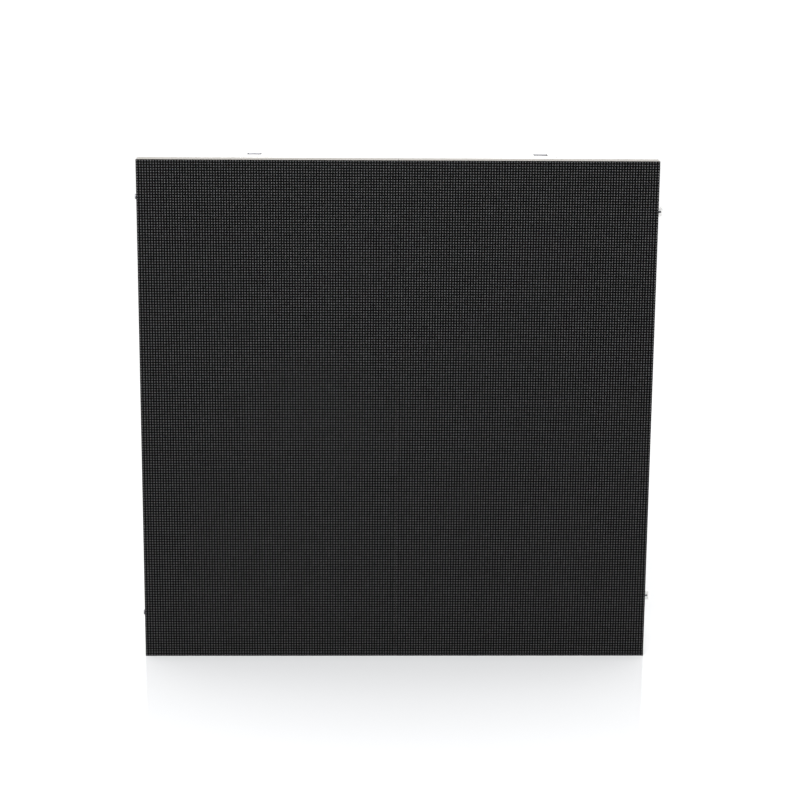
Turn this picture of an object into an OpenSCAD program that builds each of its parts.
// Square LED screen cabinet of the kind that stacks into a video wall.
// Four LED modules are held by magnets on the front of a die-cast aluminium frame. A box on the
// back holds the supply and the control cards, and four latches join the frame to its neighbours.
// X runs to the right as seen from the front, Y from the screen to the back, Z up.
// The origin is the middle of the frame's bottom edge, which stands on the ground.

/* [Screen] */
// Side of one square LED module, half of the cabinet's side
module_size = 250; // [240:2:300]
// Wanted pitch of the lamps, rounded so that a whole number of them fits a module
lamp_pitch = 2.6; // [2.4:0.05:3.4]
// Gap between neighbouring modules
module_gap = 0.3; // [0.2:0.1:0.4]
// Depth of a module, from its lamps to its back
module_depth = 17; // [16:0.5:20]
// Thickness of the black mask around the lamps
mask_t = 1.6; // [1.4:0.1:2.4]
// Side of one square lamp
lamp_size = 1.5; // [1.2:0.1:1.6]
// Space between a lamp and the edge of its window
lamp_clearance = 0.2; // [0.1:0.05:0.25]
// Depth of the lamps below the mask's face
lamp_recess = 0.3; // [0.1:0.1:0.6]
// Thickness of a module's circuit board
board_t = 1.6; // [1.2:0.2:2]
// Wall of a module's shell
shell_wall = 2; // [1.6:0.2:3]

/* [Module back] */
// Radius of a holding magnet
magnet_r = 5; // [4:0.5:6]
// Thickness of a holding magnet
magnet_t = 3; // [2:0.5:4]
// Distance of the magnets from the module's edge
magnet_inset = 10; // [9:0.5:11]
// Thickness of the steel plate that each magnet holds to
plate_disc_t = 1.5; // [1:0.25:2]
// Distance of a module's corner screws from its edges
screw_from_edge = 63; // [60:1:70]
// Length of a lamp driver chip
chip_l = 10; // [8:1:14]
// Width of a lamp driver chip
chip_w = 6; // [4:0.5:8]
// Height of a lamp driver chip
chip_h = 1.5; // [1:0.1:2.5]

/* [Frame] */
// Depth of the whole cabinet without its back box
cabinet_depth = 80; // [78:1:100]
// Thickness of the frame's outer wall
wall_t = 4; // [3:0.5:5]
// Thickness of the frame's front plate and back flange
plate_t = 4; // [3:0.5:5]
// Width of the front plate's border
front_border = 18; // [17:0.5:24]
// Width of the back flange
back_flange = 32; // [30:1:38]
// Width of the two arms that join the upright to the sides
arm_w = 36; // [34:1:44]
// Corner radius of the windows in the front plate
window_r = 12; // [6:1:18]
// Corner radius of the frame's outside
corner_r = 2; // [1:0.5:4]
// Thickness of the frame's ribs
rib_t = 4; // [3:0.5:6]
// Radius of a tapped hole for hanging hardware
hanging_hole_r = 4.25; // [3:0.25:5]
// Depth of a tapped hole for hanging hardware
hanging_hole_d = 18; // [12:1:24]
// Distance of the tapped holes from the upright's centre line
hanging_hole_x = 70; // [60:1:80]
// Distance of the ribs near the ends of the top and bottom walls from the cabinet's side
end_rib_from_side = 72; // [68:1:76]

/* [Dowels] */
// Radius of a side dowel pin
dowel_r = 2.5; // [2:0.25:3]
// Length of a dowel pin outside the frame
dowel_out = 3; // [2.5:0.25:7]
// Distance of the dowel pins from the ends of the side
dowel_from_end = 39; // [34:1:39]
// Distance of the dowel pins behind the frame's front
dowel_behind_front = 4.5; // [4.5:0.25:6]
// Radius of the hole in a top or bottom bush
bush_hole_r = 4; // [3:0.25:4.5]
// Wall of a bush
bush_wall = 2; // [1.5:0.25:3]
// Length of a bush
bush_l = 12; // [8:1:16]
// Distance of the bushes from the cabinet's side
bush_from_side = 47; // [40:1:56]
// Distance of the bushes behind the screen's face
bush_behind_face = 29; // [29:1:36]

/* [Latches] */
// Travel of a latch tongue
tongue_travel = 8; // [7:0.5:9]
// Width of a latch tongue's nose
tongue_w = 9; // [7:0.5:10]
// Thickness of a latch tongue
tongue_t = 5; // [4:0.5:6]
// Distance of a latch shaft from the frame's outside
shaft_inset = 20; // [18:0.5:22]
// Radius of a latch shaft
shaft_r = 4; // [3.5:0.25:5]
// Length of a latch lever
lever_l = 42; // [30:1:50]
// Width of a latch lever at its end
lever_w = 11; // [8:1:14]
// Thickness of a latch lever
lever_t = 5; // [4:0.5:6]
// Height of the groove along the front of a tongue's nose
groove_h = 1.8; // [1:0.2:2.4]
// Distance of the upper side latch and keeper from the top
side_latch_from_top = 53.5; // [53.5:0.5:60]
// Distance of the lower side latch and keeper from the bottom
side_latch_from_bottom = 53.5; // [53.5:0.5:60]
// Distance of the side latches behind the screen's face
side_latch_behind_face = 33; // [33:0.5:36]
// Distance of the bottom latches and the top pockets from the cabinet's side
end_latch_from_side = 111; // [104:1:116]
// Distance of the bottom latches and the top slots behind the screen's face
end_latch_behind_face = 46; // [42:0.5:48]

/* [Keepers] */
// Width of a keeper's slot
slot_w = 13; // [12:0.5:15]
// Length of a keeper's slot from front to back
slot_l = 10; // [8:0.5:12]
// Wall of the steel keeper around the slot
keeper_wall = 1.5; // [1:0.25:2]
// Height of a keeper
keeper_h = 8; // [6:0.5:10]
// Width of a top pocket
pocket_w = 28; // [24:1:32]
// Length of a top pocket from front to back
pocket_l = 47; // [40:1:50]
// Depth of a top pocket
pocket_d = 3; // [0.5:0.25:3]

/* [Handle] */
// Radius of the handle's bar
bar_r = 7; // [6:0.5:8]
// Distance between the middles of the handle's legs
handle_span = 140; // [120:2:160]
// Height of the handle above the box
handle_above_box = 42; // [38:1:44]
// Thickness of the rubber grip on the bar
grip_t = 3.5; // [2.5:0.5:4]

/* [Back box] */
// Width of the box on the back
box_w = 196; // [188:2:200]
// Height of the box on the back
box_h = 300; // [292:2:304]
// Distance of the box's centre below the middle of the cabinet
box_below_middle = 15; // [12:1:18]
// Space between the box and the ribs at its sides
box_side_gap = 4; // [3:0.5:6]
// Distance that the box stands out behind the frame, to the outside of its cover
box_proud = 10; // [8:1:16]
// Wall of the box
box_wall = 2.5; // [2:0.25:3]
// Thickness of the cover
cover_t = 4; // [3:0.5:5]
// Thickness of the seal under the cover
seal_t = 1; // [0.5:0.25:1.5]
// Corner radius of the box
box_r = 8; // [4:1:10]

/* [Cooling fins] */
// Bare height of the cover above and below the fins
fin_end_gap = 100; // [96:2:110]
// Bare width of the cover beside the fins
fin_side_gap = 23; // [16:1:40]
// Number of fins
fin_count = 16; // [8:1:20]
// Thickness of a fin
fin_t = 2.5; // [1.5:0.25:3]
// Distance that a fin stands out of the cover
fin_out = 2; // [1:0.25:2.5]

/* [Inside the box] */
// Depth of the power supply
supply_d = 30; // [24:1:32]
// Space between the cover's bosses and the supply and card beside them
part_gap = 3.5; // [2:0.5:6]
// Space between the supply and the control card
middle_gap = 17; // [10:1:24]
// Space between the panel sockets and the supply
supply_above_sockets = 13; // [10:1:20]
// Space between the supply and the screw bosses above it
supply_below_bosses = 12; // [4:1:20]
// Distance of the control card from the top of the box
card_from_top = 75; // [70:1:80]
// Distance of the control card from the bottom of the box
card_from_bottom = 85; // [80:1:90]
// Distance of the distribution board's edge from the sides of the box
hub_side_gap = 23; // [18:1:28]
// Height of the distribution board
hub_h = 190; // [184:2:200]

/* [Back panel] */
// Radius of a panel socket's barrel
socket_r = 12; // [11:0.25:13]
// Depth of a panel socket behind the cover's face
socket_d = 22; // [20:1:26]
// Height of the panel sockets above the bottom of the box
socket_from_bottom = 40; // [34:1:44]
// Distance between neighbouring panel sockets
socket_step = 38; // [34:1:42]
// Distance of the status window below the top of the box
status_from_top = 55; // [50:1:60]
// Radius of the test button
button_r = 4; // [3:0.25:5]
// Travel of the test button
button_travel = 1.5; // [1:0.25:2]
// Width of the status window
status_w = 44; // [36:1:48]
// Height of the status window
status_h = 24; // [18:1:26]

/* [Hidden] */
$fn = 48;
slack = 0.3;
shaft_fit = 0.06;
press_gap = 0.02;

panel_w = 2 * module_size;
panel_h = 2 * module_size;
face_y = -cabinet_depth / 2;
back_y = cabinet_depth / 2;
seat_y = face_y + module_depth;
mid_z = panel_h / 2;

lamps_per_side = round(module_size / lamp_pitch);
pitch = module_size / lamps_per_side;
window_h = lamp_size + 2 * lamp_clearance;
mask_side = module_size - module_gap;
board_y = face_y + mask_t;
board_back_y = board_y + board_t;
board_side = mask_side - 2 * slack;
screw_offset = module_size / 2 - screw_from_edge;
chip_columns = 4;
chip_rows = 6;
chip_edge_x = 29;
chip_edge_z = 17;
chip_step_x = (module_size - 2 * chip_edge_x) / chip_columns;
chip_step_z = (module_size - 2 * chip_edge_z) / chip_rows;
module_screw_hole_r = 1.6;
module_screw_head_r = 2.8;
module_screw_head_t = 1.6;
boss_r = 4;
cup_wall = 2;
cup_floor = 1.5;
vent_w = 36;
vent_h = 4;
vent_x = 31;
vent_step = 10;
plug_x = 35;
plug_z = 50;
plug_w = 8;
plug_h = 50;
plug_tip_y = seat_y - 4;
plug_room = 3;

front_plate_y = seat_y + plate_t;
flange_y = back_y - plate_t;
inner_x = panel_w / 2 - wall_t;
spine_w = box_w + 2 * box_side_gap + rib_t;
arm_rib_h = 49;
arm_rib_t = rib_t + 2;
edge_rib_h = 16;
side_rib_steps = [60, 140];
end_rib_x = panel_w / 2 - end_rib_from_side;
inner_corner_r = 6;
plug_window_r = 2;
bore_depth = 10;
dowel_y = seat_y + dowel_behind_front;
dowel_seat_r = dowel_r + 0.5;
dowel_boss_r = dowel_seat_r + 1.5;
bush_y = face_y + bush_behind_face;
bush_x = panel_w / 2 - bush_from_side;
bush_r = bush_hole_r + bush_wall;
hanging_inset = back_flange / 2;
hanging_boss_r = hanging_hole_r + 3.75;

side_latch_y = face_y + side_latch_behind_face;
end_latch_y = face_y + end_latch_behind_face;
end_latch_x = panel_w / 2 - end_latch_from_side;
side_latch_x = panel_w / 2 - shaft_inset;
side_latch_low = side_latch_from_bottom;
side_latch_high = panel_h - side_latch_from_top;
crank_throw = tongue_travel / 2 / sin(45);
crank_pin_r = 1.5;
crank_t = 3;
crank_r = crank_throw + crank_pin_r + 2;
yoke_half = crank_r;
groove_l = 7;
groove_d = 3;
groove_lip = 1;
yoke_back = 5;
yoke_front = 12 - tongue_travel / 2;
pin_slack = 0.35;
spigot_r = shaft_r - 1;
latch_wall = 3;
latch_boss_r = shaft_r + 4;
lever_hub_r = 9;
lever_gap = 0.4;
lever_y = back_y + lever_gap;
keeper_w = slot_w + 2 * keeper_wall;
keeper_l = slot_l + 2 * keeper_wall;
keeper_pad = 4;

box_mid_z = mid_z - box_below_middle;
box_front_y = front_plate_y + 6;
floor_y = box_front_y + box_wall;
cover_back_y = back_y + box_proud;
cover_y = cover_back_y - cover_t;
rim_y = cover_y - seal_t;
cover_boss_r = 4.5;
cover_boss_inset = box_wall + cover_boss_r - 0.5;
small_screw_r = 1.5;
small_hole_r = small_screw_r + 0.05;
small_head_r = 2.8;
small_head_t = 1.8;
cover_screw_in = 12;
cover_tap_deeper = 2;
card_screw_in = 5;
card_tap_deeper = 1;
big_screw_r = 2.5;
big_hole_r = big_screw_r + 0.05;
big_head_r = 4.2;
big_head_t = 3;
box_foot_x = 60;
box_foot_z = box_h / 2 - 12;
box_foot_r = big_screw_r + 4;
room_x = box_w / 2 - cover_boss_inset - cover_boss_r;
room_z = box_h / 2 - cover_boss_inset - cover_boss_r;

handle_z = box_mid_z + box_h / 2 + handle_above_box;
bar_y = back_y - bar_r + 1;
leg_w = 2 * bar_r;
foot_l = 44;
foot_t = 5;
foot_screw = 15;

hub_standoff = 1.6;
hub_y = front_plate_y + hub_standoff;
hub_back_y = hub_y + board_t;
hub_w = box_w - 2 * hub_side_gap;
hub_hole_x = hub_w / 2 - 6;
hub_hole_z = hub_h / 2 - 6;
part_w = room_x - part_gap - middle_gap / 2;
part_x = (part_w + middle_gap) / 2;
card_x = part_x;
card_w = part_w;
card_h = box_h - card_from_top - card_from_bottom;
card_z = box_mid_z + (card_from_bottom - card_from_top) / 2;
card_standoff = 8;
card_standoff_r = 3;
card_y = floor_y + card_standoff;
header_x = card_x;
header_w = 10;
header_h = 50;
header_room = 2;
card_back_y = card_y + board_t;
card_hole_x = card_w / 2 - 5;
card_hole_z = card_h / 2 - 5;
socket_z = box_mid_z - box_h / 2 + socket_from_bottom;
supply_x = -part_x;
supply_w = part_w;
supply_low = socket_z + socket_r + supply_above_sockets;
supply_high = box_mid_z + room_z - supply_below_bosses;
supply_h = supply_high - supply_low;
supply_z = (supply_high + supply_low) / 2;
supply_standoff = 2;
supply_foot_r = 5;
supply_foot_inset = 8;
supply_y = floor_y + supply_standoff;
terminal_h = 14;
terminal_d = 10;
terminal_side = 4;
processor_side = 24;
processor_t = 2;
processor_up = 20;
jack_w = 16;
jack_h = 21;
jack_d = 13;
jack_down = 40;
jack_x = 18;
lead_r = 1.5;
lead_bend_r = 6;
lead_step = 5;
post_r = 4;
post_z = 60;

flange_w = 26;
flange_h = 31;
flange_t = 2.5;
flange_corner_r = 3;
socket_middle_gap = 23;
outlet_x = -socket_middle_gap;
inlet_x = outlet_x - socket_step;
data_in_x = socket_middle_gap;
data_out_x = data_in_x + socket_step;
SOCKETS_X = [inlet_x, outlet_x, data_in_x, data_out_x];
socket_wall = 2.5;
socket_bore_r = socket_r - socket_wall;
socket_bore_d = 16;
data_w = 15;
data_h = 12.5;

contact_r = 1;
contact_l = 5;
contact_ring_r = 5;
display_z = box_mid_z + box_h / 2 - status_from_top;
fin_mid_z = box_mid_z - 5;
display_w = 150;
display_h = 30;
display_post_l = 16;
display_post_r = 4;
display_post_inset = 5;
display_y = cover_y - display_post_l;
display_back_y = display_y + board_t;
button_x = 48;
button_proud = 1.5;
button_cap_l = 9;
button_flange_t = 2;
button_stem_r = 2;
button_stem_l = 3;
button_collar = 2;
switch_side = 8;
window_t = 2;
window_ledge = 3;
lens_r = 3;
lens_out = 1;
lens_left_x = -60;
lens_right_x = -46;
LENSES_X = [lens_left_x, lens_right_x];

// Which way each module lies from the cabinet's middle, as [x, z]
TOP_LEFT = [-1, 1];
TOP_RIGHT = [1, 1];
BOTTOM_LEFT = [-1, -1];
BOTTOM_RIGHT = [1, -1];
QUARTERS = [TOP_LEFT, TOP_RIGHT, BOTTOM_LEFT, BOTTOM_RIGHT];

// Gives a flat outline, drawn in X and Z, a thickness from y0 back to y1
module slab(y0, y1) {
  translate([0, y1, 0])
    rotate([90, 0, 0])
      linear_extrude(y1 - y0)
        children();
}

// A round bar along Y from y0 to y1
module rod(y0, y1, r) {
  translate([0, y1, 0])
    rotate([90, 0, 0])
      cylinder(h = y1 - y0, r = r);
}

// A rectangle with round corners, centred
module round_rect(w, h, r) {
  square([w - 2 * r, h], center = true);
  square([w, h - 2 * r], center = true);
  for (x = [-1, 1], y = [-1, 1])
    translate([x * (w / 2 - r), y * (h / 2 - r)])
      circle(r);
}

module at_module(quarter) {
  translate([quarter.x * module_size / 2, 0, mid_z + quarter.y * module_size / 2])
    children();
}

module at_every_module() {
  for (quarter = QUARTERS)
    at_module(quarter)
      children();
}

// The eight magnets of a module, at its corners and the middles of its sides
module at_magnets() {
  reach = module_size / 2 - magnet_inset;
  for (x = [-1, 0, 1], z = [-1, 0, 1])
    if (x != 0 || z != 0)
      translate([x * reach, 0, z * reach])
        children();
}

module at_module_screws() {
  children();
  for (x = [-1, 1], z = [-1, 1])
    translate([x * screw_offset, 0, z * screw_offset])
      children();
}

// Plugs lie near the cabinet's middle, one for each module
module at_plugs() {
  for (quarter = QUARTERS)
    translate([quarter.x * plug_x, 0, mid_z + quarter.y * plug_z])
      children();
}

module row_outlines(length, height) {
  for (row = [0 : lamps_per_side - 1])
    translate([0, (row + 0.5 - lamps_per_side / 2) * pitch])
      square([length, height], center = true);
}

// Black mask with one long window for each row of lamps
module mask(quarter) {
  color([0.09, 0.09, 0.095])
    at_module(quarter)
      slab(face_y, board_y)
        difference() {
          square(mask_side, center = true);
          row_outlines(module_size - pitch + window_h, window_h);
        }
}

// Rows of lamps, soldered on the board
module lamps(quarter) {
  color([0.24, 0.24, 0.25])
    at_module(quarter)
      slab(face_y + lamp_recess, board_y)
        row_outlines(module_size - pitch + lamp_size, lamp_size);
}

module board(quarter) {
  color([0.05, 0.12, 0.09])
    at_module(quarter)
      slab(board_y, board_back_y)
        difference() {
          square(board_side, center = true);
          circle(module_screw_hole_r);
          for (x = [-1, 1], z = [-1, 1])
            translate([x * screw_offset, z * screw_offset])
              circle(module_screw_hole_r);
        }
}

module shell_vents() {
  for (x = [-1, 1], row = [-3 : 3])
    if (row != 0)
      translate([x * vent_x, row * vent_step])
        square([vent_w, vent_h], center = true);
}

// Light grey shell: a rim, a back with vents, screw bosses and magnet cups
module shell(quarter) {
  back_t = shell_wall;
  color([0.72, 0.71, 0.70])
    difference() {
      at_module(quarter)
        difference() {
          union() {
            slab(board_back_y, seat_y)
              difference() {
                square(mask_side, center = true);
                square(mask_side - 2 * shell_wall, center = true);
              }
            slab(seat_y - back_t, seat_y)
              difference() {
                square(mask_side, center = true);
                shell_vents();
              }
            at_magnets()
              rod(seat_y - magnet_t - cup_floor, seat_y, magnet_r + cup_wall);
            at_module_screws()
              rod(board_back_y, seat_y, boss_r);
          }
          at_magnets()
            rod(seat_y - magnet_t, seat_y + 1, magnet_r);
          at_module_screws()
            rod(board_back_y - 1, seat_y + 1, module_screw_hole_r);
          at_module_screws()
            rod(seat_y - module_screw_head_t - slack, seat_y + 1, module_screw_head_r + slack);
        }
      at_plugs()
        slab(board_back_y - 1, seat_y + 1)
          square([plug_w + 2 * plug_room, plug_h + 2 * plug_room], center = true);
    }
}

module driver_chips() {
  color([0.06, 0.06, 0.07])
    at_every_module()
      for (column = [0 : chip_columns - 1], row = [0 : chip_rows - 1])
        translate([(column - (chip_columns - 1) / 2) * chip_step_x, 0,
                   (row - (chip_rows - 1) / 2) * chip_step_z])
          slab(board_back_y, board_back_y + chip_h)
            square([chip_l, chip_w], center = true);
}

module module_plugs() {
  color([0.08, 0.08, 0.09])
    at_plugs()
      slab(board_back_y, plug_tip_y)
        square([plug_w, plug_h], center = true);
}

module module_magnets() {
  color([0.60, 0.61, 0.63])
    at_every_module()
      at_magnets()
        rod(seat_y - magnet_t, seat_y, magnet_r);
}

module module_screws() {
  color([0.30, 0.30, 0.32])
    at_every_module()
      at_module_screws() {
        rod(board_y + 0.2, seat_y - 0.2, module_screw_hole_r - 0.05);
        rod(seat_y - module_screw_head_t, seat_y - 0.2, module_screw_head_r);
      }
}

module magnet_plates() {
  color([0.62, 0.63, 0.65])
    at_every_module()
      at_magnets()
        rod(seat_y, seat_y + plate_disc_t, magnet_r);
}

module front_plate() {
  window_w = (panel_w - spine_w) / 2 - front_border;
  window_high = (panel_h - arm_w) / 2 - front_border;
  window_x = spine_w / 2 + window_w / 2;
  window_z = arm_w / 2 + window_high / 2;
  slab(seat_y, front_plate_y)
    difference() {
      translate([0, mid_z])
        round_rect(panel_w, panel_h, corner_r);
      for (x = [-1, 1], z = [-1, 1])
        translate([x * window_x, mid_z + z * window_z])
          round_rect(window_w, window_high, window_r);
      for (x = [-1, 1], z = [-1, 1])
        translate([x * plug_x, mid_z + z * plug_z])
          round_rect(plug_w + 2 * plug_room, plug_h + 2 * plug_room, plug_window_r);
    }
}

module outer_wall() {
  slab(front_plate_y, flange_y)
    translate([0, mid_z])
      difference() {
        round_rect(panel_w, panel_h, corner_r);
        round_rect(2 * inner_x, 2 * inner_x, inner_corner_r);
      }
}

module back_flange_ring() {
  slab(flange_y, back_y)
    translate([0, mid_z])
      difference() {
        round_rect(panel_w, panel_h, corner_r);
        round_rect(panel_w - 2 * back_flange, panel_h - 2 * back_flange, window_r + 4);
      }
}

// Ribs that tie the wall to the front plate and the flange
module wall_ribs() {
  depth = front_border - wall_t;
  for (side = [-1, 1], step = [-1, 1], far = side_rib_steps)
    slab(front_plate_y, flange_y)
      translate([side * (inner_x - depth / 2), mid_z + step * far])
        square([depth + 1, rib_t], center = true);
  for (end = [-1, 1], step = [-1, 1])
    slab(front_plate_y, flange_y)
      translate([step * end_rib_x, mid_z + end * (inner_x - depth / 2)])
        square([rib_t, depth + 1], center = true);
}

// One rib stands on each arm, and one along each edge of the upright
module arm_ribs() {
  for (side = [-1, 1]) {
    slab(front_plate_y, front_plate_y + arm_rib_h)
      translate([side * (spine_w / 2 + inner_x) / 2, mid_z])
        square([inner_x - spine_w / 2 + 1, arm_rib_t], center = true);
    slab(front_plate_y, front_plate_y + edge_rib_h)
      translate([side * spine_w / 2, mid_z])
        square([rib_t, 2 * inner_x + 1], center = true);
  }
}

module frame_bosses() {
  pad_top = panel_h - wall_t;
  pad_bottom = panel_h - pocket_d - keeper_h;
  for (side = [-1, 1]) {
    translate([side * end_latch_x, (seat_y + 2 + flange_y) / 2, (pad_top + pad_bottom) / 2])
      cube([pocket_w + 8, flange_y - seat_y - 2, pad_top - pad_bottom], center = true);
    for (z = [side_latch_low, side_latch_high])
      translate([-inner_x + keeper_pad / 2, side_latch_y, z])
        cube([keeper_pad, keeper_l + 6, keeper_w + 6], center = true);
    for (z = [dowel_from_end, panel_h - dowel_from_end])
      translate([side * (inner_x + wall_t - bore_depth / 2), dowel_y, z])
        rotate([0, 90, 0])
          cylinder(h = bore_depth, r = dowel_boss_r, center = true);
    for (z = [bush_l / 2, panel_h - bush_l / 2])
      translate([side * bush_x, bush_y, z])
        cylinder(h = bush_l, r = bush_r + 3, center = true);
    for (z = [hanging_inset, panel_h - hanging_inset])
      translate([side * hanging_hole_x, 0, z])
        rod(back_y - hanging_hole_d - 3, flange_y, hanging_boss_r);
    for (z = [-1, 1]) {
      translate([side * hub_hole_x, 0, mid_z + z * hub_hole_z])
        rod(front_plate_y, hub_y, boss_r);
      translate([side * box_foot_x, 0, box_mid_z + z * box_foot_z])
        rod(front_plate_y, box_front_y, box_foot_r);
    }
  }
}

module frame_cuts() {
  pocket_y = seat_y + 2 + pocket_l / 2;
  for (side = [-1, 1]) {
    translate([side * end_latch_x, pocket_y, panel_h])
      cube([pocket_w, pocket_l, 2 * pocket_d], center = true);
    translate([side * end_latch_x, end_latch_y, panel_h - keeper_h])
      cube([keeper_w, keeper_l, 2 * keeper_h], center = true);
    translate([side * end_latch_x, end_latch_y, 0])
      cube([tongue_w + 2 * slack, tongue_t + 2 * slack, 4 * wall_t], center = true);
    translate([side * end_latch_x, 0, shaft_inset])
      rod(flange_y - 1, back_y + 1, shaft_r + 0.5);
    for (z = [dowel_from_end, panel_h - dowel_from_end])
      translate([side * (panel_w / 2 - bore_depth / 2 + 1), dowel_y, z])
        rotate([0, 90, 0])
          cylinder(h = bore_depth, r = (side < 0 ? dowel_seat_r : dowel_r) + press_gap,
                   center = true);
    for (z = [bush_l / 2, panel_h - bush_l / 2])
      translate([side * bush_x, bush_y, z])
        cylinder(h = bush_l + 2, r = bush_r, center = true);
    for (z = [hanging_inset, panel_h - hanging_inset])
      translate([side * hanging_hole_x, 0, z])
        rod(back_y - hanging_hole_d, back_y + 1, hanging_hole_r);
    for (z = [-1, 1]) {
      translate([side * hub_hole_x, 0, mid_z + z * hub_hole_z])
        rod(seat_y + 1, hub_y + 1, small_hole_r);
      translate([side * box_foot_x, 0, box_mid_z + z * box_foot_z])
        rod(seat_y + 1, box_front_y + 1, big_hole_r);
      translate([side * handle_span / 2, 0, handle_z + z * foot_screw])
        rod(seat_y + 0.5, front_plate_y + 1, big_hole_r);
    }
  }
  for (z = [side_latch_low, side_latch_high]) {
    translate([-panel_w / 2, side_latch_y, z])
      cube([2 * keeper_h, keeper_l, keeper_w], center = true);
    translate([panel_w / 2, side_latch_y, z])
      cube([4 * wall_t, tongue_t + 2 * slack, tongue_w + 2 * slack], center = true);
    translate([side_latch_x, 0, z])
      rod(flange_y - 1, back_y + 1, shaft_r + 0.5);
  }
  at_every_module()
    at_magnets()
      rod(seat_y - 1, seat_y + plate_disc_t, magnet_r);
}

// Die-cast frame: front plate, outer wall, back flange, ribs and bosses in one piece
module cabinet_frame() {
  color([0.93, 0.93, 0.92])
    difference() {
      union() {
        front_plate();
        outer_wall();
        back_flange_ring();
        wall_ribs();
        arm_ribs();
        frame_bosses();
      }
      frame_cuts();
    }
}

// Each pin is thicker where it sits in the frame
module dowel_pins() {
  color([0.45, 0.45, 0.47])
    for (z = [dowel_from_end, panel_h - dowel_from_end])
      translate([-panel_w / 2, dowel_y, z])
        rotate([0, 90, 0]) {
          cylinder(h = bore_depth - 2, r = dowel_seat_r);
          translate([0, 0, -dowel_out])
            cylinder(h = dowel_out, r = dowel_r);
        }
}

module dowel_bushes() {
  color([0.62, 0.62, 0.64])
    for (x = [-bush_x, bush_x], z = [0, panel_h - bush_l])
      translate([x, bush_y, z])
        difference() {
          cylinder(h = bush_l, r = bush_r);
          translate([0, 0, -1])
            cylinder(h = bush_l + 2, r = bush_hole_r);
        }
}

// A steel keeper lies along X; its slot opens along Z
module keeper() {
  difference() {
    translate([0, 0, -keeper_h / 2])
      cube([keeper_w, keeper_l, keeper_h], center = true);
    cube([slot_w, slot_l, 3 * keeper_h], center = true);
  }
}

module keepers() {
  color([0.42, 0.42, 0.44]) {
    for (x = [-end_latch_x, end_latch_x])
      translate([x, end_latch_y, panel_h - pocket_d])
        keeper();
    for (z = [side_latch_low, side_latch_high])
      translate([-panel_w / 2, side_latch_y, z])
        rotate([0, -90, 0])
          keeper();
  }
}

// A latch is drawn with its shaft on the Y axis and its tongue towards +X, then put in place
module at_side_low() {
  translate([side_latch_x, side_latch_y, side_latch_low])
    children();
}

module at_side_high() {
  translate([side_latch_x, side_latch_y, side_latch_high])
    mirror([0, 0, 1])
      children();
}

module at_base_right() {
  translate([end_latch_x, end_latch_y, shaft_inset])
    rotate([0, 90, 0])
      children();
}

module at_base_left() {
  translate([-end_latch_x, end_latch_y, shaft_inset])
    mirror([1, 0, 0])
      rotate([0, 90, 0])
        children();
}

// Tongue with a cross slot that the crank's pin drives, and a groove along its nose
module tongue(out) {
  yoke_x = tongue_travel / 2;
  nose_end = shaft_inset + tongue_travel - 0.5;
  color([0.88, 0.88, 0.87])
    translate([out ? 0 : -tongue_travel, 0, 0])
      difference() {
        slab(-tongue_t / 2, tongue_t / 2)
          difference() {
            union() {
              translate([yoke_x - yoke_back, -yoke_half])
                square([yoke_back + yoke_front, 2 * yoke_half]);
              translate([0, -tongue_w / 2])
                square([nose_end, tongue_w]);
            }
            translate([yoke_x - crank_pin_r - pin_slack, crank_throw / 2 - crank_pin_r])
              square([2 * (crank_pin_r + pin_slack),
                      crank_throw / 2 + 2 * crank_pin_r + pin_slack]);
          }
        slab(-tongue_t / 2 - 1, groove_d - tongue_t / 2)
          translate([nose_end - groove_lip - groove_l, -groove_h / 2])
            square([groove_l, groove_h]);
      }
}

module crank(out) {
  disc_y = tongue_t / 2 + slack;
  color([0.55, 0.55, 0.57])
    difference() {
      union() {
        rod(disc_y, disc_y + crank_t, crank_r);
        translate([(out ? 1 : -1) * crank_throw * sin(45), 0, crank_throw * cos(45)])
          rod(slack - tongue_t / 2, disc_y, crank_pin_r);
      }
      rod(disc_y - 1, disc_y + crank_t + 1, spigot_r + press_gap);
    }
}

// Lever with its shaft. It lies along the wall when the tongue is out
module lever(out, latch_y) {
  disc_y = tongue_t / 2 + slack;
  y0 = lever_y - latch_y;
  color([0.16, 0.17, 0.19])
    rotate([0, out ? 0 : -90, 0]) {
      rod(disc_y, disc_y + crank_t, spigot_r);
      rod(disc_y + crank_t, y0, shaft_r);
      rod(y0, y0 + lever_t + 1, lever_hub_r);
      slab(y0, y0 + lever_t)
        union() {
          polygon([[-lever_hub_r + 1.5, 0], [lever_hub_r - 1.5, 0],
                   [lever_w / 2, lever_l - lever_w / 2], [-lever_w / 2, lever_l - lever_w / 2]]);
          translate([0, lever_l - lever_w / 2])
            circle(lever_w / 2);
        }
      translate([0, 0, lever_l - lever_w / 2])
        rod(y0, y0 + lever_t + 1.5, lever_w / 2 - 2);
    }
}

module latch_housing(latch_y) {
  front = -tongue_t / 2 - slack;
  disc_end = tongue_t / 2 + slack + crank_t + slack;
  half = yoke_half + 2 * slack;
  reach = shaft_inset - wall_t;
  tail = yoke_half + 1;
  color([0.20, 0.21, 0.23])
    difference() {
      union() {
        slab(front - latch_wall, disc_end + latch_wall)
          translate([-tail - latch_wall, -half - latch_wall])
            square([reach + tail + latch_wall, 2 * (half + latch_wall)]);
        rod(disc_end, flange_y - latch_y, latch_boss_r);
      }
      slab(front, disc_end)
        translate([-tail, -half])
          square([reach + tail + 1, 2 * half]);
      rod(front, flange_y - latch_y + 1, shaft_r + shaft_fit);
    }
}

module latch_housings() {
  at_side_high() latch_housing(side_latch_y);
  at_side_low() latch_housing(side_latch_y);
  at_base_left() latch_housing(end_latch_y);
  at_base_right() latch_housing(end_latch_y);
}

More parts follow.
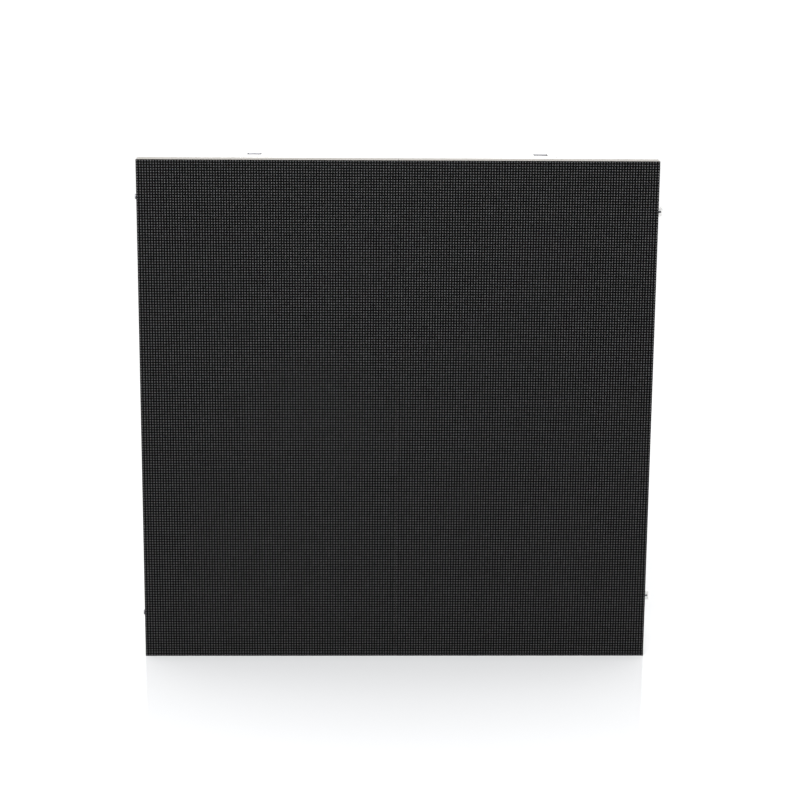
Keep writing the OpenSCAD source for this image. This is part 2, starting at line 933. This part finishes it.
// Bow handle of one casting, with a foot at each end
module handle() {
  color([0.14, 0.14, 0.15])
    difference() {
      union() {
        translate([0, bar_y, handle_z])
          rotate([0, 90, 0])
            cylinder(h = handle_span, r = bar_r, center = true);
        for (side = [-1, 1])
          translate([side * handle_span / 2, 0, handle_z]) {
            translate([0, (front_plate_y + bar_y) / 2, 0])
              cube([leg_w, bar_y - front_plate_y, leg_w], center = true);
            rotate([0, 90, 0])
              translate([0, bar_y, 0])
                cylinder(h = leg_w, r = bar_r, center = true);
            translate([0, front_plate_y + foot_t / 2, 0])
              cube([leg_w, foot_t, foot_l], center = true);
          }
      }
      for (side = [-1, 1], z = [-1, 1])
        translate([side * handle_span / 2, 0, handle_z + z * foot_screw])
          rod(front_plate_y - 1, front_plate_y + foot_t + 1, big_hole_r);
    }
}

module handle_grip() {
  length = handle_span - leg_w - 2 * slack;
  color([0.10, 0.10, 0.11])
    translate([0, bar_y, handle_z])
      rotate([0, 90, 0])
        difference() {
          cylinder(h = length, r = bar_r + grip_t, center = true);
          cylinder(h = length + 2, r = bar_r + press_gap, center = true);
        }
}

module big_screw(seat) {
  rod(seat_y + 1.2, seat, big_screw_r);
  difference() {
    rod(seat, seat + big_head_t, big_head_r);
    translate([0, seat + big_head_t, 0])
      rotate([90, 0, 0])
        cylinder(h = 2 * big_head_t - 2, r = 2.3, center = true, $fn = 6);
  }
}

// Socket screws of the handle's feet and of the box
module frame_screws() {
  color([0.30, 0.30, 0.32])
    for (side = [-1, 1], z = [-1, 1]) {
      translate([side * handle_span / 2, 0, handle_z + z * foot_screw])
        big_screw(front_plate_y + foot_t);
      translate([side * box_foot_x, 0, box_mid_z + z * box_foot_z])
        big_screw(floor_y);
    }
}

// The eight cover screws, at the corners and the middles of the sides
module at_cover_screws() {
  x = box_w / 2 - cover_boss_inset;
  z = box_h / 2 - cover_boss_inset;
  for (i = [-1, 0, 1], k = [-1, 0, 1])
    if (i != 0 || k != 0)
      translate([i * x, 0, box_mid_z + k * z])
        children();
}

module box_outline(inset) {
  translate([0, box_mid_z])
    round_rect(box_w - 2 * inset, box_h - 2 * inset, box_r - inset);
}

module back_box() {
  color([0.88, 0.88, 0.87])
    difference() {
      union() {
        slab(box_front_y, floor_y)
          box_outline(0);
        slab(floor_y, rim_y)
          difference() {
            box_outline(0);
            box_outline(box_wall);
          }
        at_cover_screws()
          rod(floor_y, rim_y, cover_boss_r);
        for (x = [-1, 1], z = [-1, 1]) {
          translate([card_x + x * card_hole_x, 0, card_z + z * card_hole_z])
            rod(floor_y, card_y, card_standoff_r);
          translate([supply_x + x * (supply_w / 2 - supply_foot_inset), 0,
                     supply_z + z * (supply_h / 2 - supply_foot_inset)])
            rod(floor_y, supply_y, supply_foot_r);
        }
      }
      at_cover_screws()
        rod(rim_y - cover_screw_in - cover_tap_deeper, rim_y + 1, small_hole_r);
      for (x = [-1, 1], z = [-1, 1]) {
        translate([card_x + x * card_hole_x, 0, card_z + z * card_hole_z])
          rod(card_y - card_screw_in - card_tap_deeper, card_y + 1, small_hole_r);
        translate([x * box_foot_x, 0, box_mid_z + z * box_foot_z])
          rod(box_front_y - 1, floor_y + 1, big_hole_r);
      }
      translate([header_x, 0, mid_z])
        slab(box_front_y - 1, floor_y + 1)
          square([header_w + 2 * header_room, header_h + 2 * header_room], center = true);
      for (z = [-1, 1])
        translate([supply_x, 0, mid_z + z * post_z])
          rod(box_front_y - 1, floor_y + 1, post_r + 1);
    }
}

module cover_seal() {
  color([0.08, 0.08, 0.08])
    slab(rim_y, cover_y)
      difference() {
        box_outline(0);
        box_outline(box_wall);
      }
}

module cooling_fins() {
  field_w = box_w - 2 * fin_side_gap;
  step = (field_w - fin_t) / (fin_count - 1);
  for (fin = [0 : fin_count - 1])
    slab(cover_back_y, cover_back_y + fin_out)
      translate([fin * step - (field_w - fin_t) / 2, fin_mid_z])
        square([fin_t, box_h - 2 * fin_end_gap], center = true);
}

// Back cover with holes for the sockets, the button, the window and the lenses
module back_cover() {
  color([0.90, 0.90, 0.89])
    difference() {
      union() {
        slab(cover_y, cover_back_y)
          box_outline(0);
        cooling_fins();
        for (x = [-1, 1])
          translate([x * (display_w / 2 - display_post_inset), 0, display_z])
            rod(display_back_y, cover_y, display_post_r);
      }
      at_cover_screws()
        rod(cover_y - 1, cover_back_y + 1, small_screw_r + 0.2);
      for (x = SOCKETS_X)
        translate([x, 0, socket_z])
          rod(cover_y - 1, cover_back_y + 1, socket_r + slack);
      translate([button_x, 0, display_z])
        rod(cover_y - 1, cover_back_y + 1, button_r + shaft_fit);
      for (x = LENSES_X)
        translate([x, 0, display_z])
          rod(cover_y - 1, cover_back_y + 1, lens_r + press_gap);
      translate([0, 0, display_z])
        slab(cover_y - 1, cover_back_y + 1)
          square([status_w - 2 * window_ledge, status_h - 2 * window_ledge], center = true);
      translate([0, 0, display_z])
        slab(cover_back_y - window_t, cover_back_y + 1)
          square([status_w, status_h], center = true);
    }
}

module cover_screws() {
  color([0.66, 0.66, 0.68])
    at_cover_screws() {
      rod(rim_y - cover_screw_in, cover_back_y, small_screw_r);
      rod(cover_back_y, cover_back_y + small_head_t, small_head_r);
    }
}

module power_supply() {
  color([0.74, 0.75, 0.76])
    translate([supply_x, 0, supply_z])
      difference() {
        slab(supply_y, supply_y + supply_d)
          square([supply_w, supply_h], center = true);
        translate([0, 0, -supply_h / 2])
          slab(supply_y + supply_d - terminal_d, supply_y + supply_d + 1)
            square([supply_w - 2 * terminal_side, 2 * terminal_h], center = true);
      }
}

module control_card() {
  color([0.05, 0.28, 0.16])
    translate([card_x, 0, card_z]) {
      slab(card_y, card_back_y)
        difference() {
          square([card_w, card_h], center = true);
          for (x = [-1, 1], z = [-1, 1])
            translate([x * card_hole_x, z * card_hole_z])
              circle(small_hole_r + 0.1);
        }
      translate([0, 0, processor_up])
        slab(card_back_y, card_back_y + processor_t)
          square([processor_side, processor_side], center = true);
      for (x = [-jack_x, jack_x])
        translate([x, 0, -jack_down])
          slab(card_back_y, card_back_y + jack_d)
            square([jack_w, jack_h], center = true);
    }
}

module hub_board() {
  color([0.05, 0.28, 0.16])
    translate([0, 0, mid_z])
      slab(hub_y, hub_back_y)
        difference() {
          square([hub_w, hub_h], center = true);
          for (x = [-1, 1], z = [-1, 1])
            translate([x * hub_hole_x, z * hub_hole_z])
              circle(small_hole_r + 0.1);
        }
}

module hub_sockets() {
  color([0.10, 0.10, 0.11])
    at_plugs()
      slab(plug_tip_y + slack, hub_y)
        square([plug_w, plug_h], center = true);
}

module hub_header() {
  color([0.10, 0.10, 0.11])
    translate([header_x, 0, mid_z])
      slab(hub_back_y, card_y)
        square([header_w, header_h], center = true);
}

module power_posts() {
  color([0.78, 0.62, 0.30])
    for (z = [-1, 1])
      translate([supply_x, 0, mid_z + z * post_z])
        rod(hub_back_y, supply_y, post_r);
}

module small_screw(tip, seat) {
  rod(tip, seat, small_screw_r);
  rod(seat, seat + small_head_t, small_head_r);
}

module card_screws() {
  color([0.66, 0.66, 0.68])
    for (x = [-1, 1], z = [-1, 1]) {
      translate([card_x + x * card_hole_x, 0, card_z + z * card_hole_z])
        small_screw(card_y - card_screw_in, card_back_y);
      translate([x * hub_hole_x, 0, mid_z + z * hub_hole_z])
        small_screw(seat_y + 1.5, hub_back_y);
    }
}

// Three leads from the power inlet, bent up into the supply
module supply_leads() {
  bend_r = lead_bend_r;
  start_y = cover_back_y - socket_d;
  run_y = supply_y + supply_d - terminal_d / 2;
  supply_end = supply_z - supply_h / 2 + terminal_h;
  color([0.55, 0.36, 0.18])
    for (x = [-lead_step, 0, lead_step])
      translate([inlet_x + x, 0, socket_z]) {
        rod(run_y + bend_r, start_y, lead_r);
        translate([0, run_y + bend_r, bend_r])
          rotate([0, -90, 0])
            rotate([0, 0, 180])
              rotate_extrude(angle = 90)
                translate([bend_r, 0])
                  circle(lead_r);
        translate([0, run_y, bend_r])
          cylinder(h = supply_end - socket_z - bend_r, r = lead_r);
      }
}

// Small board behind the window, with the display, the switch and two lamps on it
module display_board() {
  switch_top = cover_back_y + button_proud - button_cap_l - button_flange_t
               - button_stem_l - button_travel - shaft_fit;
  color([0.05, 0.28, 0.16])
    translate([0, 0, display_z]) {
      slab(display_y, display_back_y)
        square([display_w, display_h], center = true);
      slab(display_back_y, cover_back_y - window_t - slack)
        square([status_w - 2 * window_ledge - 1, status_h - 2 * window_ledge - 1], center = true);
      translate([button_x, 0, 0])
        slab(display_back_y, switch_top)
          square([switch_side, switch_side], center = true);
      for (x = LENSES_X)
        translate([x, 0, 0])
          rod(display_back_y, cover_y - window_t - slack, lens_r - 0.5);
    }
}

// Spring button: a cap, a collar that keeps it in, and a stem down to the switch
module test_button() {
  top = cover_back_y + button_proud;
  collar = top - button_cap_l;
  color([0.75, 0.10, 0.10])
    translate([button_x, 0, display_z]) {
      rod(collar, top, button_r);
      rod(collar - button_flange_t, collar, button_r + button_collar);
      rod(collar - button_flange_t - button_stem_l, collar - button_flange_t, button_stem_r);
    }
}

module status_window() {
  color([0.15, 0.16, 0.18, 0.6])
    translate([0, 0, display_z])
      slab(cover_back_y - window_t, cover_back_y)
        square([status_w, status_h], center = true);
}

module status_lenses() {
  color([0.30, 0.75, 0.40])
    for (x = LENSES_X)
      translate([x, 0, display_z])
        rod(cover_y - window_t, cover_back_y + lens_out, lens_r);
}

// Panel socket: a flange on the cover, a barrel through it and an open mouth
module power_socket() {
  mouth_y = cover_back_y + flange_t;
  difference() {
    union() {
      slab(cover_back_y, mouth_y)
        round_rect(flange_w, flange_h, flange_corner_r);
      rod(cover_back_y - socket_d, cover_back_y, socket_r);
    }
    rod(mouth_y - socket_bore_d, mouth_y + 1, socket_bore_r);
  }
  for (turn = [0, 120, 240])
    rotate([0, turn, 0])
      translate([0, 0, contact_ring_r])
        rod(mouth_y - socket_bore_d, mouth_y - socket_bore_d + contact_l, contact_r);
}

module power_inlet() {
  color([0.12, 0.25, 0.60])
    translate([inlet_x, 0, socket_z])
      power_socket();
}

module power_outlet() {
  color([0.80, 0.80, 0.82])
    translate([outlet_x, 0, socket_z])
      power_socket();
}

module data_sockets() {
  mouth_y = cover_back_y + flange_t;
  color([0.10, 0.10, 0.11])
    for (x = [data_in_x, data_out_x])
      translate([x, 0, socket_z])
        difference() {
          union() {
            slab(cover_back_y, mouth_y)
              round_rect(flange_w, flange_h, flange_corner_r);
            rod(cover_back_y - socket_d, cover_back_y, socket_r);
          }
          slab(mouth_y - socket_bore_d, mouth_y + 1)
            square([data_w, data_h], center = true);
        }
}

mask(TOP_LEFT);  // mask_top_left
mask(TOP_RIGHT);  // mask_top_right
mask(BOTTOM_LEFT);  // mask_bottom_left
mask(BOTTOM_RIGHT);  // mask_bottom_right
lamps(TOP_LEFT);  // lamps_top_left
lamps(TOP_RIGHT);  // lamps_top_right
lamps(BOTTOM_LEFT);  // lamps_bottom_left
lamps(BOTTOM_RIGHT);  // lamps_bottom_right
board(TOP_LEFT);  // board_top_left
board(TOP_RIGHT);  // board_top_right
board(BOTTOM_LEFT);  // board_bottom_left
board(BOTTOM_RIGHT);  // board_bottom_right
shell(TOP_LEFT);  // shell_top_left
shell(TOP_RIGHT);  // shell_top_right
shell(BOTTOM_LEFT);  // shell_bottom_left
shell(BOTTOM_RIGHT);  // shell_bottom_right
driver_chips();
module_plugs();
module_magnets();
module_screws();
cabinet_frame();
dowel_pins();
dowel_bushes();
keepers();
magnet_plates();
latch_housings();
at_side_high() tongue(true);  // tongue_side_high
at_side_low() tongue(true);  // tongue_side_low
at_base_left() tongue(false);  // tongue_base_left
at_base_right() tongue(false);  // tongue_base_right
at_side_high() crank(true);  // crank_side_high
at_side_low() crank(true);  // crank_side_low
at_base_left() crank(false);  // crank_base_left
at_base_right() crank(false);  // crank_base_right
at_side_high() lever(true, side_latch_y);  // lever_side_high
at_side_low() lever(true, side_latch_y);  // lever_side_low
at_base_left() lever(false, end_latch_y);  // lever_base_left
at_base_right() lever(false, end_latch_y);  // lever_base_right
handle();
handle_grip();
frame_screws();
back_box();
back_cover();
cover_seal();
cover_screws();
power_supply();
control_card();
hub_board();
hub_sockets();
hub_header();
power_posts();
card_screws();
supply_leads();
display_board();
test_button();
status_window();
status_lenses();
power_inlet();
power_outlet();
data_sockets();
